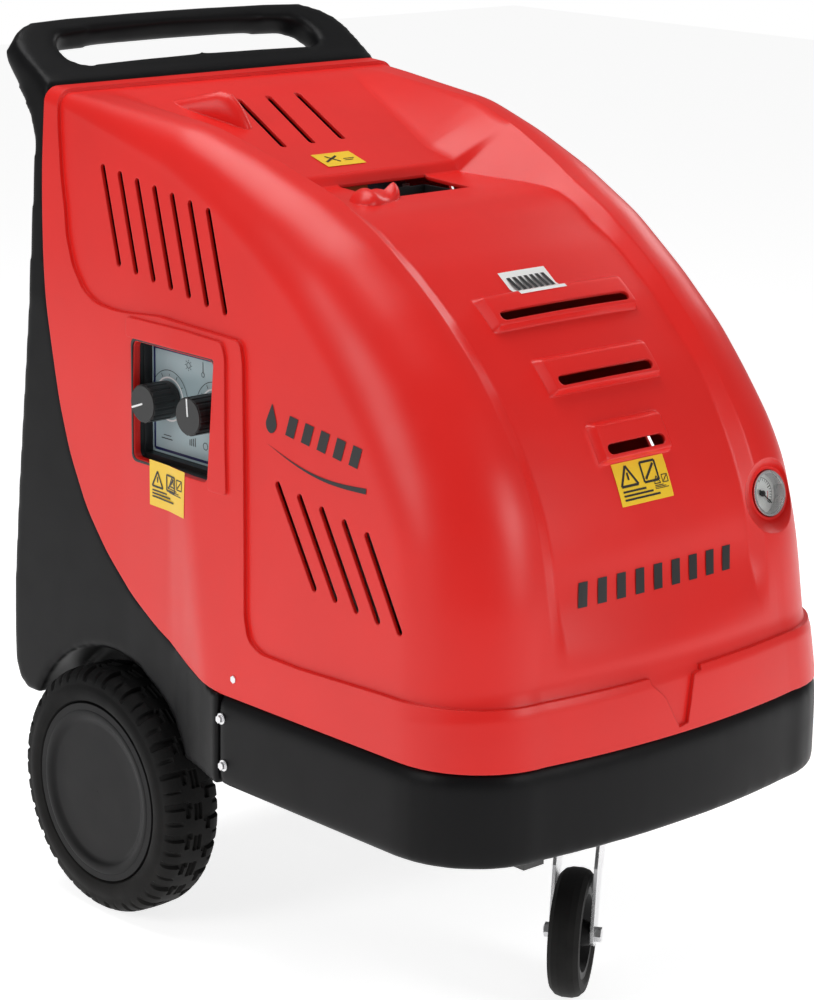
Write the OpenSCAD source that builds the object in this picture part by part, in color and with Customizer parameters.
// Hot-water pressure washer on two wheels and a swivel caster.
// Millimetres. +Z is up, the machine faces -Y, the control side is -X.
// The origin is on the floor, under the middle of the overall box.

/* [Overall] */
// Distance from the seam plane of the body to the middle of the overall length
mid_y = 22.2; // [22.2:0.1:22.2]
// Half width of the bumper
half_w = 307; // [305:1:309]
// Half width of the hood at its lower rim
hood_half_w = 298.7; // [296:0.1:299]
// Lean of the hood's flanks, millimetres inwards per millimetre up
flank_lean = 0.07; // [0.05:0.01:0.08]
// Height of the seam between the bumper and the hood
seam_z = 336.4; // [334:0.1:338]
// Height of the underside of the body
under_z = 228.7; // [226:0.1:230]

/* [Shells] */
// Wall thickness of the hood
hood_t = 6; // [5:0.5:7]
// Wall thickness of the bumper
bumper_t = 8; // [6:0.5:10]
// Corner radius of the bumper in plan
corner_r = 112.6; // [105:0.1:118]
// How far the bumper's front bows forwards
bow = 16.6; // [10:0.1:20]
// Width of one ventilation slot
slot_w = 6; // [4:0.5:7]
// Slope of the handle loop, degrees
handle_tilt = 33; // [32:1:34]

/* [Rear wheels] */
// Outer radius of a rear tyre
tyre_r = 150; // [149:0.5:150]
// Width of a rear tyre
tyre_w = 80; // [76:1:80]
// Radius of the rim's outer edge
rim_r = 109; // [105:1:112]
// Radius of the axle
axle_r = 10; // [9:0.5:11]

/* [Caster] */
// Radius of the caster wheel
caster_r = 73; // [70:1:75]
// Width of the caster tyre
caster_w = 37; // [32:1:38]
// Trail between the swivel axis and the caster's axle
trail = 42; // [38:1:44]

/* [Controls] */
// Radius of the two control knobs
knob_r = 22; // [18:0.5:23]
// Radius of the pressure gauge's bezel
gauge_r = 26; // [24:0.5:27]

/* [Motor, pump and boiler] */
// Outer radius of the motor
motor_r = 96; // [90:1:98]
// Outer radius of the boiler's jacket
boiler_r = 148; // [144:1:150]
// Radius of the coil's tube
coil_tube_r = 9; // [8:0.5:10]
// Number of turns in the heating coil
coil_turns = 11; // [8:1:12]

/* [Hidden] */
$fn = 48;
wheel_y = 232.8;
wheel_z = tyre_r;
wheel_out = 301;
arch_r = 170;
swivel_y = -281;
caster_turn = -145.4;   // plan direction of the trail, degrees from +X
plate_z = 191;          // underside of the caster's top plate
motor_y = -270;
motor_z = 350;
boiler_y = 85;
handle_y = 372;
handle_z = 974;
knob_z = 637;
knob_y = [145, 63];
gauge_at = [212, -354, 551];
gauge_tilt = 14;
panel_x = -251;

// ---------- helpers ----------
module at_mid() translate([0, -mid_y, 0]) children();
// puts a shape drawn along +Z onto the +X direction
module along_x() rotate([0, 90, 0]) children();
// puts a shape drawn along +Z onto the +Y direction
module along_y() rotate([-90, 0, 0]) children();
// side view: draws [y, z] outlines and extrudes them along X from x0 to x1
module side_view(x0, x1) translate([x0, 0, 0]) rotate([90, 0, 90]) linear_extrude(x1 - x0) children();
module block(a, b) translate(a) cube([b[0] - a[0], b[1] - a[1], b[2] - a[2]]);
module tube(ro, ri, h) difference() { cylinder(r = ro, h = h); translate([0, 0, -1]) cylinder(r = ri, h = h + 2); }
module both() { children(); mirror([1, 0, 0]) children(); }
// rod between two points
module rod(a, b, r) {
  d = b - a; l = norm(d);
  translate(a) rotate([0, acos(d[2] / l), atan2(d[1], d[0])]) cylinder(r = r, h = l);
}
// pipe through points, with round elbows
module pipe(p, r) {
  for (i = [0:len(p) - 2]) rod(p[i], p[i + 1], r);
  for (i = [1:len(p) - 2]) translate(p[i]) sphere(r = r + 0.4);
}
function mirrored(p) = concat(p, [for (i = [len(p) - 1:-1:0]) if (p[i][0] > 0.01) [-p[i][0], p[i][1]]]);
// right half of the rounded, slightly bowed outline seen from above
function plan_half(w, yf, rc, b, yr) = concat(
  [for (i = [0:6]) let (x = (w - rc) * i / 7) [x, yf + b * pow(x / (w - rc), 2)]],
  [for (i = [0:8]) let (a = -90 + 90 * i / 8) [w - rc + rc * cos(a), yf + b + rc + rc * sin(a)]],
  [[w, yr]]);
function lookup2(v, t) = lookup(v, t);
// half width of the body in plan behind the seam
narrow = [[-500, half_w], [0, half_w], [40, 293], [76, 283], [109, 276], [143, 274], [200, 272], [600, 272]];
function half_at(y, z) = min(hood_half_w - flank_lean * (z - seam_z), lookup(y, narrow) );

// ---------- hood ----------
// outline of the hood in the side view: [y, z, edge radius, inward step of the top centre]
crown = [[365, 965, 14, 0], [330, 963.5, 18, 3], [290, 960.5, 24, 10], [219, 954, 34, 26], [150, 949, 45, 42], [100, 938, 52, 47],
  [80, 933, 56, 46], [66, 929, 58, 55], [8, 909.5, 66, 39], [-43, 889, 72, 20], [-78, 872, 77, 10], [-104, 860, 81, 9],
  [-133, 848, 85, 10], [-178, 820, 90, 11], [-218, 792, 94, 12], [-250, 767, 97, 12], [-281, 739, 99, 12], [-301, 715, 100, 12], [-320, 692, 101, 13],
  [-340, 667, 102, 14], [-357, 641, 103, 14], [-371, 615, 103, 14], [-382, 589, 104, 14], [-393, 548, 104, 12], [-401, 506, 104, 8],
  [-406, 465, 104, 3], [-410, 430, 104, 0], [-414, 404, 104, 0], [-419, 399, 104, 0],
  [-421, 370, 104, 0], [-423, seam_z + 0.3, 104, 0]];
rim_line = [[-330, seam_z + 0.3], [-230, seam_z + 0.3], [-110, seam_z + 0.3], [0, seam_z + 1], [72, 350], [137, 374], [188, 403], [234, 443],
  [272, 489], [303, 549], [322, 606], [335, 666], [348, 723], [356, 780], [362, 838], [365, 884], [365.5, 930]];
hub = [0, 600];
// half widths of the hollow between the two shoulder ridges: at its foot and at its top
wall_foot = [[-500, 155], [-60, 155], [-40, 160], [8, 145], [66, 124], [100, 116], [219, 158], [318, 196], [400, 200]];
wall_top = [[-500, 170], [-45, 172], [35, 184], [115, 190], [318, 202], [400, 206]];
hood_line = concat(crown, [for (p = rim_line) [p[0], p[1], 1, -1]]);
// one ring of hood points over a spoke; t is the inset of the surface
function spoke(e, t) =
  let (open = e[3] < 0, p = [e[0], e[1]] + (open && t > 0 ? [2.3, -1.1] : [0, 0]), v = p - hub, l0 = norm(v), u = v / l0,
       l = open ? l0 + (t > 0 ? 20 : 0) : l0 - t,
       rho = open ? 1 : max(e[2] - t, 3), step = open ? 0 : e[3],
       w = half_at(p[0], p[1]) - t,
       b = open ? 0 : bow * min(1, max(0, (-p[0] - 40) / 200)),
       side = [for (f = [0.45, 0.8]) let (r = (l - rho) * f, q = hub + u * r) [half_at(q[0], q[1]) - t, r]],
       round = [for (i = [0:5]) let (a = 90 * i / 5) [w - rho + rho * cos(a), l - rho + rho * sin(a)]],
       inner = lookup(p[0], wall_foot), outer = lookup(p[0], wall_top),
       top = [[min(outer, w - rho - 4), l], [min(inner, w - rho - 10), l - step], [70, l - step]],
       half = concat(side, round, top))
  concat([for (h = half) [h[0], hub[0] + u[0] * h[1] + b * min(1, pow(h[0] / 194, 2)), hub[1] + u[1] * h[1]]],
         [[0, hub[0] + u[0] * (l - step), hub[1] + u[1] * (l - step)]],
         [for (i = [len(half) - 1:-1:0]) let (h = half[i]) [-h[0], hub[0] + u[0] * h[1] + b * min(1, pow(h[0] / 194, 2)), hub[1] + u[1] * h[1]]]);
module hood_solid(t) {
  n = len(hood_line);
  rings = [for (e = hood_line) spoke(e, t)];
  k = len(rings[0]);
  w = half_at(hub[0], hub[1]) - t;
  pts = concat([for (r = rings) for (q = r) q], [[w, hub[0], hub[1]], [-w, hub[0], hub[1]]]);
  faces = concat(
    [for (i = [0:n - 1]) for (j = [0:k - 2]) let (m = (i + 1) % n) each [[i * k + j, m * k + j, m * k + j + 1], [i * k + j, m * k + j + 1, i * k + j + 1]]],
    [for (i = [0:n - 1]) let (m = (i + 1) % n) each [[n * k, m * k, i * k], [n * k + 1, i * k + k - 1, m * k + k - 1]]]);
  polyhedron(points = pts, faces = faces, convexity = 6);
}
// slanted slot through a flank between two [y, z] ends
module flank_slot(a, b, w) side_view(-320, -200)
  polygon([a + [-w / 2, 0], a + [w / 2, 0], b + [w / 2, 0], b + [-w / 2, 0]]);
floor_slots = [[[-25, 295], [-70, 168]], [[22, 295], [-22, 168]], [[69, 295], [26, 168]]];
upper_slots = [for (i = [0:6]) [[254 - 32.2 * i, 889 - 4.2 * i], [216 - 32.2 * i, 785 - 4.3 * i]]];
lower_slots = [for (i = [0:4]) [[-82 - 36.8 * i, 587 - 6.3 * i], [-151 - 34.3 * i, 488 - 4 * i]]];
louvres = [[-218, 773, 92, 16], [-288, 708, 68, 14], [-338, 640, 41, 12]];

module hood() {
  color([0.85, 0.13, 0.10]) at_mid()
  resize([0, 0, 0]) difference() {
    hood_solid(0);
    hood_solid(hood_t);
    both() {
      for (s = upper_slots) flank_slot(s[0], s[1], slot_w);
      for (s = lower_slots) flank_slot(s[0], s[1], slot_w);
    }
    block([-320, 33, 568], [-200, 180, 702]);
    for (l = louvres) translate([-l[2], l[0] - 60, l[1] - l[3] / 2]) cube([2 * l[2], 120, l[3]]);
    block([-68, 3, 800], [68, 69, 990]);
    for (s = floor_slots) linear_extrude(1200) polygon([s[0] + [-3, 0], s[0] + [3, 0], s[1] + [3, 0], s[1] + [-3, 0]]);
    translate(gauge_at) rotate([90 - gauge_tilt, 0, 0]) translate([0, 0, -60]) cylinder(r = gauge_r + 1.5, h = 100, $fn = 32);
  }
}

// ---------- black body parts ----------
frame_side = concat([[-8, under_z], [-8, seam_z], [0, seam_z]],
  [for (i = [4:len(rim_line) - 1]) rim_line[i]], [[365.5, 942], [366, 972], [400, 994], [430, 1012],
  [455, 1010], [455, 994], [442, 975], [418, 952], [400, 932], [390, 905], [391, 716], [401, 630], [418, 490], [430, 370], [433, 298], [432, 262], [424, 240], [408, under_z + 1]]);
rear_outer = [[391, 960], [390, 905], [391, 716], [401, 630], [418, 490], [430, 370], [433, 298], [432, 262], [424, 240], [408, under_z + 1]];

module arch_cut(r, x0, x1) translate([x0, wheel_y, wheel_z]) along_x() cylinder(r = r, h = x1 - x0);

module rear_frame() {
  color([0.16, 0.16, 0.16]) at_mid() difference() {
    union() {
      // flanks: plan outline and side outline together, leaning in above the waist
      difference() {
        intersection() {
          side_view(-320, 320) polygon(frame_side);
          translate([0, 0, 200]) linear_extrude(900) difference() {
            polygon(mirrored([[0, -20], [half_w, -20], [half_w, 0], [293, 40], [283, 76], [276, 109], [274, 143], [272, 200], [272, 500], [0, 500]]));
            polygon(mirrored([[0, -30], [285, -30], [285, 0], [271, 40], [261, 76], [254, 109], [252, 143], [250, 200], [250, 510], [0, 510]]));
          }
        }
        both() translate([-272, 0, 722]) rotate([0, atan(flank_lean), 0]) translate([-60, -100, 0]) cube([60, 700, 400]);
      }
      // back wall
      intersection() {
        side_view(-251, 251) polygon(concat(rear_outer, [for (i = [len(rear_outer) - 1:-1:0]) rear_outer[i] - [9, 0]]));
        block([-251, 300, 200], [251, 460, 960]);
      }
      // wheel houses
      both() difference() {
        intersection() {
          arch_cut(arch_r + 6, -262, -204);
          block([-270, 50, under_z + 0.5], [-200, 424, 330]);
        }
        arch_cut(arch_r, -280, -209);
      }
      // front bar under the hood's rear edge
      side_view(-243, 243) polygon([[366, 930], [366, 972], [376, 978], [392, 978], [391, 958], [382, 930]]);
      // handle loop
      translate([0, handle_y, handle_z]) rotate([handle_tilt, 0, 0]) translate([0, 0, -34]) linear_extrude(34) difference() {
        polygon(mirrored(concat([[0, 0], [243, 0], [250, 18], [256, 40]], [for (i = [0:5]) let (a = 15 * i) [196 + 60 * cos(a), 51 + 60 * sin(a)]], [[150, 115], [60, 117.5], [0, 118]])));
        polygon(mirrored(concat([[0, 33], [100, 31], [170, 27]], [for (i = [0:6]) let (a = -90 + 30 * i) [172 + 24 * cos(a), 51 + (i < 4 ? 24 : 34) * sin(a)]], [[100, 90], [0, 92]])));
      }
    }
    // wheel arches through the flanks
    arch_cut(arch_r, -330, -209);
    arch_cut(arch_r, 209, 330);
    // the grip's back is rounded off
    block([-300, 476, 900], [300, 520, 1100]);
    // axle passes the wheel houses
    translate([-330, wheel_y, wheel_z]) along_x() cylinder(r = 17, h = 660);
    // fillers, hose tails and cable in the back wall
    translate([-70, 331, 560]) rotate([-45, 0, 0]) cylinder(r = 36, h = 160);
    translate([132, 331, 560]) rotate([-45, 0, 0]) cylinder(r = 36, h = 160);
    translate([-150, 380, 330]) along_y() cylinder(r = 20, h = 80);
    translate([150, 380, 330]) along_y() cylinder(r = 20, h = 80);
    translate([0, 380, 330]) along_y() cylinder(r = 14, h = 80);
  }
}

module front_bumper() {
  color([0.16, 0.16, 0.16]) at_mid() difference() {
    union() {
      translate([0, 0, under_z]) linear_extrude(6) polygon(mirrored(plan_half(half_w - 5, -426.6, corner_r - 5, bow, -8.3)));
      translate([0, 0, under_z + 6]) linear_extrude(88) polygon(mirrored(plan_half(half_w, -431.6, corner_r, bow, -8.3)));
      translate([0, 0, under_z + 94]) linear_extrude(7) polygon(mirrored(plan_half(half_w - 2, -429.6, corner_r - 2, bow, -8.3)));
      translate([0, 0, under_z + 101]) linear_extrude(seam_z - under_z - 101) polygon(mirrored(plan_half(half_w - 6, -425.6, corner_r - 6, bow, -8.3)));
    }
    // inside, open to the back
    translate([0, 0, under_z + 7]) linear_extrude(92) polygon(mirrored(plan_half(half_w - bumper_t, -431.6 + bumper_t, corner_r - bumper_t, bow, 10)));
    translate([0, 0, under_z - 5]) linear_extrude(150) polygon(mirrored(plan_half(half_w - 32, -431.6 + 32, corner_r - 32, bow, 10)));
  }
}

// flanged hex screw, head outwards along +Z
module screw(l = 12) { cylinder(r = 6.5, h = 1.6); cylinder(r = 4.6, h = 5.5, $fn = 6); translate([0, 0, -l]) cylinder(r = 3, h = l); }
screw_sides = [[-307, -17, 310], [-307, -21, 256], [-297.2, -31, 358]];
module body_screws() {
  color([0.75, 0.75, 0.77]) at_mid() {
    both() for (s = screw_sides) translate(s) rotate([0, -90, 0]) screw(7);
    translate([0, 354, 962.6]) rotate([-4, 0, 0]) screw(5);
    for (x = [-180, 180]) translate([x, 433, 290]) along_y() screw(12);
    for (x = [-180, 180]) translate([x, 390.6, 800]) along_y() screw(12);
  }
}

// ---------- chassis and rear axle ----------
module chassis() {
  color([0.12, 0.12, 0.13]) at_mid() difference() {
    union() {
      translate([0, 0, 229]) linear_extrude(4) polygon(mirrored([[0, -372], [212, -372], [248, -322], [248, 70], [0, 70]]));
      block([-200, 60, 229], [200, 392, 233]);
      both() {
        block([-180, -370, 204], [-150, 392, 229.5]);
        block([-194, 195, 126], [-186, 271, 229.5]);
        block([-190, 195, 214], [-165, 271, 229.5]);
        // motor feet rails
        block([-175, motor_y - 70, 232.5], [-150, motor_y + 70, 250]);
      }
      block([0, motor_y - 70, 232.5], [25, motor_y + 70, 250]);
      // cross channel over the caster
      block([-155, swivel_y - 55, 195], [155, swivel_y + 55, 204.5]);
      block([-155, swivel_y - 55, 195], [155, swivel_y - 50, 229.5]);
      block([-155, swivel_y + 50, 195], [155, swivel_y + 55, 229.5]);
    }
    translate([-300, wheel_y, wheel_z]) along_x() cylinder(r = axle_r + 0.05, h = 600);
    for (x = [-40, 40]) for (y = [-30, 30]) translate([x, swivel_y + y, 190]) cylinder(r = 4.3, h = 20);
  }
}
module axle() color([0.6, 0.6, 0.62]) at_mid() translate([-287, wheel_y, wheel_z]) along_x() cylinder(r = axle_r, h = 574);
module axle_retainers() color([0.7, 0.7, 0.72]) at_mid() both() translate([-wheel_out, wheel_y, wheel_z]) along_x() {
  translate([0, 0, 18.6]) tube(19, axle_r + 0.02, 3);
  translate([0, 0, 76.4]) tube(19, axle_r + 0.02, 3);
  translate([0, 0, 16]) tube(13, axle_r + 0.02, 2.4);
}

// ---------- rear wheels: drawn with the outer face at z = 0 ----------
module wheel_place(side) at_mid() translate([side * wheel_out, wheel_y, wheel_z]) rotate([0, side > 0 ? -90 : 90, 0]) children();
module tyre_shape() {
  difference() {
    rotate_extrude($fn = 96) polygon([[rim_r, 6], [rim_r + 6, 1.5], [rim_r + 16, 0], [tyre_r - 13, 2], [tyre_r - 4, 7], [tyre_r - 1, 12], [tyre_r - 1, tyre_w - 12],
      [tyre_r - 4, tyre_w - 7], [tyre_r - 13, tyre_w - 2], [rim_r + 16, tyre_w], [rim_r + 6, tyre_w - 1.5], [rim_r, tyre_w - 6]]);
  }
  rotate_extrude($fn = 96) polygon([[tyre_r - 3, 26], [tyre_r, 27], [tyre_r, tyre_w - 27], [tyre_r - 3, tyre_w - 26]]);
}
module rim_shape() {
  rotate_extrude($fn = 96) polygon([[rim_r - 9, 3], [rim_r - 1, 3], [rim_r - 0.05, 6.5], [rim_r - 0.05, tyre_w - 6.5], [rim_r - 1, tyre_w - 4], [rim_r - 9, tyre_w - 4], [rim_r - 9, 46], [26, 46],
    [26, tyre_w - 4.2], [axle_r + 0.05, tyre_w - 4.2], [axle_r + 0.05, 22], [26, 22], [26, 38], [rim_r - 9, 38]]);
}
module cap_shape() {
  rotate_extrude($fn = 96) polygon([[0, 6.5], [84, 6.5], [88, 3.5], [rim_r - 12, 1.5], [rim_r - 9.2, 3], [rim_r - 9.2, 12], [rim_r - 12, 12], [rim_r - 12, 9.5], [0, 9.5]]);
}
module tyre_left() color([0.13, 0.13, 0.13]) wheel_place(1) tyre_shape();
module tyre_right() color([0.13, 0.13, 0.13]) wheel_place(-1) tyre_shape();
module rim_left() color([0.1, 0.1, 0.1]) wheel_place(1) rim_shape();
module rim_right() color([0.1, 0.1, 0.1]) wheel_place(-1) rim_shape();
module hub_cap_left() color([0.11, 0.11, 0.11]) wheel_place(1) cap_shape();
module hub_cap_right() color([0.11, 0.11, 0.11]) wheel_place(-1) cap_shape();

// ---------- caster ----------
module caster_frame() at_mid() translate([0, swivel_y, 0]) rotate([0, 0, caster_turn]) children();
module caster_plate() color([0.72, 0.72, 0.74]) at_mid() translate([0, swivel_y, 0]) {
  difference() {
    translate([-52, -43, plate_z]) cube([104, 86, 4]);
    for (x = [-40, 40]) for (y = [-30, 30]) translate([x, y, plate_z - 1]) cylinder(r = 4.3, h = 8);
  }
  for (x = [-40, 40]) for (y = [-30, 30]) translate([x, y, plate_z - 6]) { cylinder(r = 6.5, h = 6, $fn = 6); cylinder(r = 4, h = 22); }
  translate([0, 0, plate_z - 7]) cylinder(r = 31, h = 7);
  translate([0, 0, 166]) cylinder(r = 6, h = 24);
  translate([0, 0, 162]) cylinder(r = 11, h = 7.6);
}
module fork_leg(y0) translate([0, y0 + 4, 0]) rotate([90, 0, 0]) linear_extrude(4)
  polygon([[-27, 181], [26, 181], [40, 150], [trail + 13, 80], [trail + 12, 66], [trail + 4, 60], [trail - 5, 60], [trail - 13, 67], [10, 130], [-20, 165]]);
module caster_fork() color([0.74, 0.74, 0.76]) caster_frame() difference() {
  union() {
    translate([0, 0, 170]) cylinder(r = 30, h = 13.5);
    translate([-26, -25.5, 176]) cube([52, 51, 5]);
    fork_leg(-25.5);
    fork_leg(21.5);
  }
  translate([0, 0, 150]) cylinder(r = 6.05, h = 60);
  translate([0, 0, 150]) cylinder(r = 11.5, h = 20.3);
  translate([trail, -40, caster_r]) along_y() cylinder(r = 5.05, h = 80);
}
module caster_bolt() color([0.7, 0.7, 0.72]) caster_frame() translate([trail, 0, caster_r]) along_y() {
  translate([0, 0, -33]) cylinder(r = 5, h = 64);
  translate([0, 0, -32]) cylinder(r = 8.5, h = 6.3, $fn = 6);
  translate([0, 0, 25.7]) cylinder(r = 8.5, h = 7, $fn = 6);
}
module caster_rim() color([0.16, 0.16, 0.16]) caster_frame() translate([trail, -20, caster_r]) along_y()
  rotate_extrude($fn = 64) polygon([[5.05, 0], [13, 0], [15, 8], [16, 15], [40, 15], [44, 5], [52, 5], [52, 35], [44, 35], [40, 25], [16, 25], [15, 32], [13, 40], [5.05, 40]]);
module caster_tyre() color([0.12, 0.12, 0.12]) caster_frame() translate([trail, -caster_w / 2, caster_r]) along_y()
  rotate_extrude($fn = 64) polygon([[52, 3.5], [58, 0.5], [caster_r - 7, 1], [caster_r - 2, 6], [caster_r, 13], [caster_r, caster_w - 13], [caster_r - 2, caster_w - 6], [caster_r - 7, caster_w - 1], [58, caster_w - 0.5], [52, caster_w - 3.5]]);

// ---------- electric motor, shaft along X ----------
module on_motor(x) at_mid() translate([x, motor_y, motor_z]) along_x() children();
module motor_housing() color([0.25, 0.3, 0.36]) {
  on_motor(-190) difference() {
    union() {
      cylinder(r = motor_r - 8, h = 230);
      for (a = [0:12:348]) rotate([0, 0, a]) translate([0, -1.5, 7]) cube([motor_r - 2, 3, 216]);
      cylinder(r = motor_r - 1, h = 14);
      translate([0, 0, 216]) cylinder(r = motor_r - 1, h = 14);
    }
    translate([0, 0, 12]) cylinder(r = 61, h = 206);
    translate([0, 0, -1]) cylinder(r = 14.05, h = 232);
  }
  at_mid() for (x = [-172, 2]) difference() {
    block([x, motor_y - 80, 250], [x + 20, motor_y + 80, 285]);
    translate([x - 1, motor_y, motor_z]) along_x() cylinder(r = motor_r - 9, h = 30);
  }
}
module motor_rotor() color([0.6, 0.6, 0.62]) on_motor(-243) union() {
  cylinder(r = 14, h = 286);
  translate([0, 0, 75]) cylinder(r = 60, h = 170);
}
module motor_fan() color([0.2, 0.2, 0.2]) on_motor(-236) difference() {
  union() {
    cylinder(r = 26, h = 30);
    translate([0, 0, 26]) cylinder(r = 76, h = 4);
    for (a = [0:45:315]) rotate([0, 0, a]) translate([20, -1.5, 4]) cube([56, 3, 24]);
  }
  translate([0, 0, -1]) cylinder(r = 14, h = 40);
}
module fan_cowl() color([0.2, 0.22, 0.25]) on_motor(-247) difference() {
  union() {
    cylinder(r1 = motor_r - 12, r2 = motor_r, h = 12);
    translate([0, 0, 11.99]) cylinder(r = motor_r, h = 45.01);
  }
  translate([0, 0, 12]) cylinder(r = motor_r - 3, h = 60);
  translate([0, 0, 3]) cylinder(r1 = motor_r - 14, r2 = motor_r - 5, h = 9.01);
  for (r = [24, 40, 56]) for (a = [0:60:300]) rotate([0, 0, a]) translate([r, 0, -1]) cylinder(r = 5, h = 6);
}
module terminal_box() color([0.25, 0.3, 0.36]) at_mid() difference() {
  block([-130, motor_y - 50, motor_z + motor_r - 4], [-30, motor_y + 50, motor_z + motor_r + 46]);
  block([-126, motor_y - 46, motor_z + motor_r + 1], [-34, motor_y + 46, motor_z + motor_r + 42]);
  translate([-190, motor_y, motor_z]) along_x() cylinder(r = motor_r + 0.2, h = 230);
}

// ---------- three-plunger pump ----------
plunger_x = [78, 108, 138];
module pump_crankcase() color([0.55, 0.56, 0.58]) at_mid() difference() {
  union() {
    block([44, motor_y - 62, 290], [172, motor_y + 52, 412]);
    translate([40.2, motor_y, motor_z]) along_x() cylinder(r = 62, h = 8);
    block([60, motor_y - 50, 233.2], [149, motor_y + 40, 291]);
    translate([108, motor_y - 20, 411]) cylinder(r = 14, h = 14);
  }
  block([54, motor_y - 52, 300], [162, motor_y + 42, 402]);
  translate([30, motor_y, motor_z]) along_x() cylinder(r = 14.05, h = 136);
  for (x = plunger_x) translate([x, motor_y + 30, motor_z]) along_y() cylinder(r = 9.05, h = 40);
}
module pump_crankshaft() color([0.65, 0.65, 0.67]) {
  on_motor(43.2) {
    cylinder(r = 14, h = 12);
    cylinder(r = 10, h = 120);
    translate([0, 0, 112]) cylinder(r = 14, h = 10);
  }
  for (i = [0:2]) on_motor(plunger_x[i] - 9) rotate([0, 0, 120 * i]) translate([8, 0, 0]) cylinder(r = 22, h = 18);
}
module pump_plungers() color([0.85, 0.85, 0.87]) at_mid() for (x = plunger_x) translate([x, motor_y + 34, motor_z]) along_y() cylinder(r = 9, h = 60);
module pump_head() color([0.78, 0.6, 0.28]) at_mid() difference() {
  block([50, motor_y + 52.2, 306], [166, motor_y + 118, 396]);
  for (x = plunger_x) translate([x, motor_y + 50, motor_z]) along_y() cylinder(r = 9.3, h = 48);
}
module pump_valve_caps() color([0.8, 0.62, 0.3]) at_mid() for (x = plunger_x) {
  translate([x, motor_y + 85, 396]) cylinder(r = 12, h = 10, $fn = 6);
  translate([x, motor_y + 118, motor_z]) along_y() cylinder(r = 12, h = 9, $fn = 6);
}
module unloader_valve() color([0.78, 0.6, 0.28]) at_mid() {
  block([166, motor_y + 60, 326], [200, motor_y + 100, 372]);
  difference() {
    translate([183, motor_y + 80, 372]) cylinder(r = 14, h = 34);
    translate([183, motor_y + 80, 380]) cylinder(r = 6.05, h = 40);
  }
}
module unloader_knob() color([0.1, 0.1, 0.1]) at_mid() translate([183, motor_y + 80, 0]) {
  translate([0, 0, 406.4]) difference() { cylinder(r = 20, h = 24); for (a = [0:30:330]) rotate([0, 0, a]) translate([21, 0, -1]) cylinder(r = 3, h = 26); }
  translate([0, 0, 384]) cylinder(r = 6, h = 23);
}

// ---------- boiler and burner ----------
module on_boiler(z) at_mid() translate([0, boiler_y, z]) children();
module boiler_jacket() color([0.7, 0.71, 0.72]) on_boiler(236) difference() {
  union() {
    cylinder(r = boiler_r, h = 530);
    for (a = [45:90:315]) rotate([0, 0, a]) translate([boiler_r - 30, -12, -3]) cube([24, 24, 4]);
  }
  translate([0, 0, 4]) cylinder(r = boiler_r - 3, h = 600);
}
function coil_ring(t, r, tr, pitch) = let (a = 360 * t, c = [r * cos(a), r * sin(a), pitch * t])
  [for (j = [0:5]) let (b = 60 * j) c + tr * (cos(b) * [cos(a), sin(a), 0] + sin(b) * [0, 0, 1])];
module heating_coil() color([0.45, 0.46, 0.48]) on_boiler(286) {
  per = 18; n = coil_turns * per; r = boiler_r - 30; pitch = 40;
  rings = [for (i = [0:n]) coil_ring(i / per, r, coil_tube_r, pitch)];
  polyhedron(points = [for (q = rings) for (p = q) p],
    faces = concat([[for (j = [0:5]) j]], [[for (j = [5:-1:0]) n * 6 + j]],
      [for (i = [0:n - 1]) for (j = [0:5]) let (k = (j + 1) % 6) each [[i * 6 + j, (i + 1) * 6 + k, i * 6 + k], [i * 6 + j, (i + 1) * 6 + j, (i + 1) * 6 + k]]]));
}
module boiler_lid() color([0.66, 0.67, 0.68]) on_boiler(766.2) difference() {
  cylinder(r = boiler_r + 4, h = 10);
  translate([-65, -79, -1]) cube([130, 60, 12]);
  translate([0, 40, -1]) cylinder(r = 40.2, h = 12);
}
module exhaust_duct() color([0.09, 0.09, 0.09]) at_mid() difference() {
  block([-67, 4, 776.4], [67, 68, 862]);
  block([-64.5, 6.5, 770], [64.5, 65.5, 880]);
}
module burner_nozzle() color([0.6, 0.6, 0.62]) on_boiler(660) translate([0, 40, 0]) {
  tube(40, 37, 116);
  translate([0, 0, 60]) cylinder(r = 7, h = 50);
  translate([0, 0, 96]) cylinder(r = 37.5, h = 4);
}
module burner_housing() color([0.75, 0.3, 0.12]) on_boiler(776.4) translate([0, 46, 0]) difference() {
  union() {
    cylinder(r = 44, h = 16);
    translate([-60, -10, 14]) cube([76, 62, 80]);
    translate([-60, 20, 60]) along_x() cylinder(r = 46, h = 76);
  }
  translate([-56, 20, 60]) along_x() cylinder(r = 42, h = 68);
  translate([-70, 20, 60]) along_x() cylinder(r = 26, h = 20);
  translate([10, 20, 60]) along_x() cylinder(r = 6.1, h = 20);
}
module burner_fan() color([0.6, 0.6, 0.62]) on_boiler(776.4) translate([-50, 66, 60]) along_x() {
  cylinder(r = 6, h = 80);
  translate([0, 0, 44]) cylinder(r = 38, h = 3);
  for (a = [0:30:330]) rotate([0, 0, a]) translate([30, -1, 2]) cube([8, 2, 43]);
}
module burner_motor() color([0.3, 0.32, 0.35]) on_boiler(776.4) translate([16.3, 66, 60]) along_x() difference() {
  cylinder(r = 38, h = 60);
  translate([0, 0, -1]) cylinder(r = 6.2, h = 20);
}
module fuel_pump() color([0.75, 0.75, 0.76]) on_boiler(776.4) translate([76.5, 66, 60]) along_x() { cylinder(r = 20, h = 26); translate([-16, -22, 4]) cube([32, 44, 18]); }
module ignition_transformer() color([0.12, 0.12, 0.14]) on_boiler(776.4) translate([-112, -5, 0]) { cube([48, 62, 44]); translate([12, 14, 43]) cylinder(r = 5, h = 12); translate([34, 14, 43]) cylinder(r = 5, h = 12); }

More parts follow.
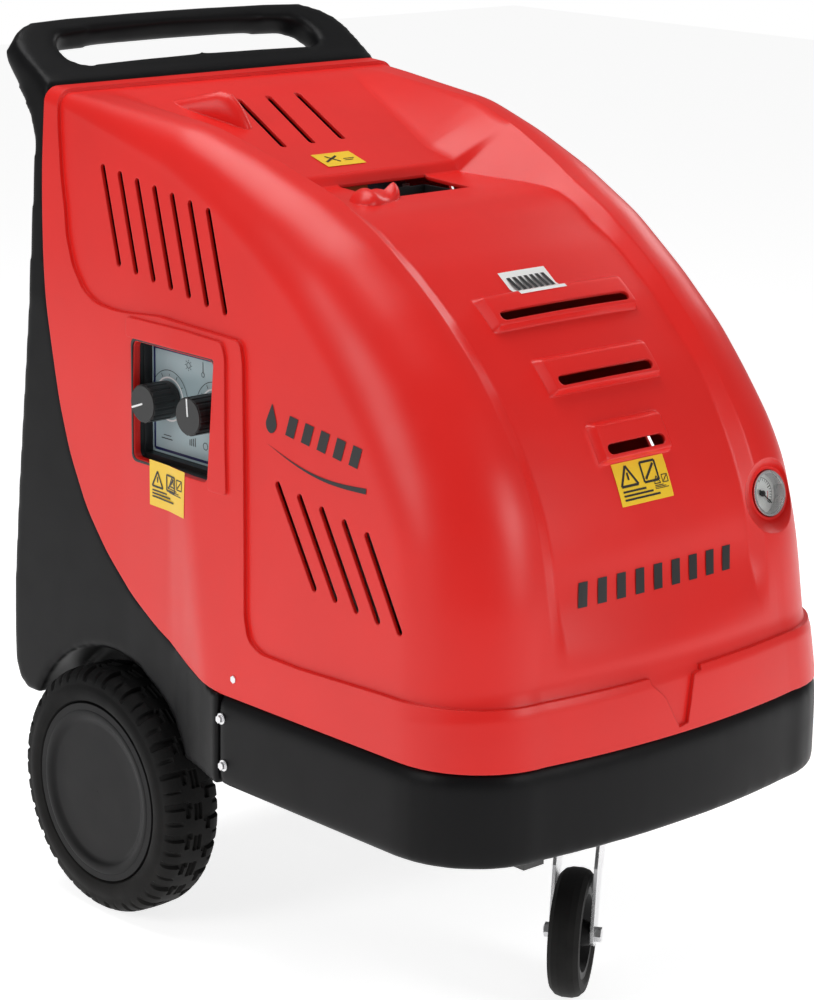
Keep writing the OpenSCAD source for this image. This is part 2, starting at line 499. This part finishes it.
// ---------- tanks ----------
module neck(x) translate([x, 331, 560]) rotate([-45, 0, 0]) children();
module tank(a, b, x, t) difference() {
  union() {
    block(a, b);
    neck(x) cylinder(r = 26, h = 112);
  }
  block(a + [t, t, t], b - [t, t, t]);
  neck(x) translate([0, 0, -6]) cylinder(r = 21, h = 140);
}
module filler_cap(x) neck(x) difference() {
  union() { translate([0, 0, 96]) cylinder(r = 31, h = 20.2); for (a = [0:30:330]) rotate([0, 0, a]) translate([29, -3, 97]) cube([4, 6, 18]); }
  translate([0, 0, 90]) cylinder(r = 26.4, h = 22.3);
}
module fuel_tank() color([0.88, 0.88, 0.84]) at_mid() tank([-192, 250, 236], [58, 374, 560], -70, 4);
module detergent_tank() color([0.88, 0.88, 0.84]) at_mid() tank([70, 250, 236], [192, 374, 560], 132, 4);
module fuel_cap() color([0.1, 0.1, 0.1]) at_mid() filler_cap(-70);
module detergent_cap() color([0.2, 0.3, 0.6]) at_mid() filler_cap(132);

// ---------- controls ----------
module control_box() color([0.12, 0.12, 0.13]) at_mid() difference() {
  block([-262, 30, 565], [-160, 183, 705]);
  block([-300, 36, 571], [-248, 177, 699]);
  block([-246, 40, 575], [-164, 173, 695]);
  for (y = knob_y) translate([-249, y, knob_z]) along_x() cylinder(r = 9, h = 6);
}
module control_panel() color([0.62, 0.7, 0.71]) at_mid() difference() {
  block([panel_x, 36.5, 571.5], [-248.2, 176.5, 698.5]);
  for (y = knob_y) translate([-254, y, knob_z]) along_x() cylinder(r = 6.4, h = 9);
}
module cam_body(y, l) at_mid() difference() {
  union() {
    block([-245.8, y - 22, knob_z - 22], [-245.8 + l, y + 22, knob_z + 22]);
    translate([-248.1, y, knob_z]) along_x() cylinder(r = 8.8, h = 3);
  }
  translate([-260, y, knob_z]) along_x() cylinder(r = 4.05, h = 30);
}
module rotary_switch() color([0.3, 0.3, 0.32]) cam_body(knob_y[0], 60);
module thermostat() color([0.75, 0.75, 0.72]) cam_body(knob_y[1], 40);
module knob_shape(y) at_mid() translate([0, y, knob_z]) {
  translate([-290, 0, 0]) along_x() difference() {
    union() {
      cylinder(r = knob_r - 1.2, h = 2);
      translate([0, 0, 1.5]) cylinder(r = knob_r, h = 34.5);
    }
    for (a = [0:20:340]) rotate([0, 0, a]) translate([knob_r + 0.8, 0, -1]) cylinder(r = 1.8, h = 30);
  }
  translate([-256, 0, 0]) along_x() cylinder(r = 4, h = 20);
}
module switch_knob() color([0.1, 0.1, 0.1]) knob_shape(knob_y[0]);
module thermostat_knob() color([0.1, 0.1, 0.1]) knob_shape(knob_y[1]);

// ---------- pressure gauge, face along +Z in its own frame ----------
module on_gauge() at_mid() translate(gauge_at) rotate([90 - gauge_tilt, 0, 0]) children();
module gauge_case() color([0.8, 0.8, 0.82]) on_gauge() difference() {
  union() {
    translate([0, 0, -26]) cylinder(r = gauge_r - 1, h = 22);
    translate([0, 0, -6]) cylinder(r = gauge_r, h = 6);
    translate([0, 0, -44]) cylinder(r = 6.5, h = 20);
  }
  translate([0, 0, -16]) cylinder(r = gauge_r - 3, h = 30);
  translate([0, 0, -22]) cylinder(r = 2.05, h = 20);
}
module gauge_dial() color([0.95, 0.95, 0.94]) on_gauge() difference() {
  translate([0, 0, -15.8]) cylinder(r = gauge_r - 3.1, h = 1.2);
  translate([0, 0, -20]) cylinder(r = 2.2, h = 20);
}
module gauge_needle() color([0.05, 0.05, 0.05]) on_gauge() {
  translate([0, 0, -20]) cylinder(r = 2, h = 11);
  translate([0, 0, -12]) cylinder(r = 3.4, h = 1.6);
  translate([0, 0, -12]) rotate([0, 0, -135]) linear_extrude(1) polygon([[-1.1, -6], [1.1, -6], [0.3, 18], [-0.3, 18]]);
}
module gauge_glass() color([0.8, 0.9, 0.95, 0.3]) on_gauge() translate([0, 0, -3.4]) cylinder(r = gauge_r - 3.05, h = 1.8);

// ---------- connections in the back wall ----------
module inlet_nipple() color([0.78, 0.6, 0.28]) at_mid() translate([-150, 0, 330]) along_y() difference() {
  union() { translate([0, 0, 440]) cylinder(r = 13.2, h = 29); translate([0, 0, 434]) cylinder(r = 19, h = 9, $fn = 6); translate([0, 0, 402]) cylinder(r = 12, h = 35); translate([0, 0, 433.2]) cylinder(r = 27, h = 3); }
  translate([0, 0, 395]) cylinder(r = 8.5, h = 90);
}
module outlet_nipple() color([0.78, 0.6, 0.28]) at_mid() translate([150, 0, 330]) along_y() difference() {
  union() { translate([0, 0, 440]) cylinder(r = 11, h = 29); translate([0, 0, 434]) cylinder(r = 17, h = 9, $fn = 6); translate([0, 0, 402]) cylinder(r = 9, h = 35); translate([0, 0, 433.2]) cylinder(r = 25, h = 3); }
  translate([0, 0, 395]) cylinder(r = 5, h = 90);
}
module cable_gland() color([0.08, 0.08, 0.08]) at_mid() translate([0, 0, 330]) along_y() difference() {
  union() { translate([0, 0, 410]) cylinder(r = 10, h = 26); translate([0, 0, 433.2]) cylinder(r = 18, h = 7.2, $fn = 6); translate([0, 0, 440]) cylinder(r = 13, h = 12); translate([0, 0, 433.2]) cylinder(r = 19, h = 2); }
  translate([0, 0, 400]) cylinder(r = 6.5, h = 60);
}
module feed_hose() color([0.1, 0.1, 0.1]) at_mid() pipe([[-150, 401.5, 330], [-150, 390, 330], [-222, 390, 345], [-222, -135, 345], [108, -135, 290], [108, motor_y + 85, 285], [108, motor_y + 85, 305.6]], 10);
module pressure_pipes() color([0.6, 0.6, 0.62]) at_mid() {
  pipe([[150, 401.5, 330], [150, 388, 330], [202, 388, 345], [202, 366, 380], [202, 366, 730], [200, 200, 740], [180, 85, 750], [148.6, 85, 750]], 6);
  pipe([[166.3, motor_y + 110, 320], [210, motor_y + 110, 320], [210, 85, 286], [148.6, 85, 286]], 6);
}

chassis();
rear_frame();
front_bumper();
hood();
body_screws();
axle();
axle_retainers();
tyre_left();
tyre_right();
rim_left();
rim_right();
hub_cap_left();
hub_cap_right();
caster_plate();
caster_fork();
caster_bolt();
caster_rim();
caster_tyre();
motor_housing();
motor_rotor();
motor_fan();
fan_cowl();
terminal_box();
pump_crankcase();
pump_crankshaft();
pump_plungers();
pump_head();
pump_valve_caps();
unloader_valve();
unloader_knob();
boiler_jacket();
heating_coil();
boiler_lid();
exhaust_duct();
burner_housing();
burner_fan();
burner_motor();
burner_nozzle();
fuel_pump();
ignition_transformer();
fuel_tank();
fuel_cap();
detergent_tank();
detergent_cap();
control_box();
control_panel();
rotary_switch();
switch_knob();
thermostat();
thermostat_knob();
gauge_case();
gauge_dial();
gauge_needle();
gauge_glass();
inlet_nipple();
outlet_nipple();
feed_hose();
pressure_pipes();
cable_gland();
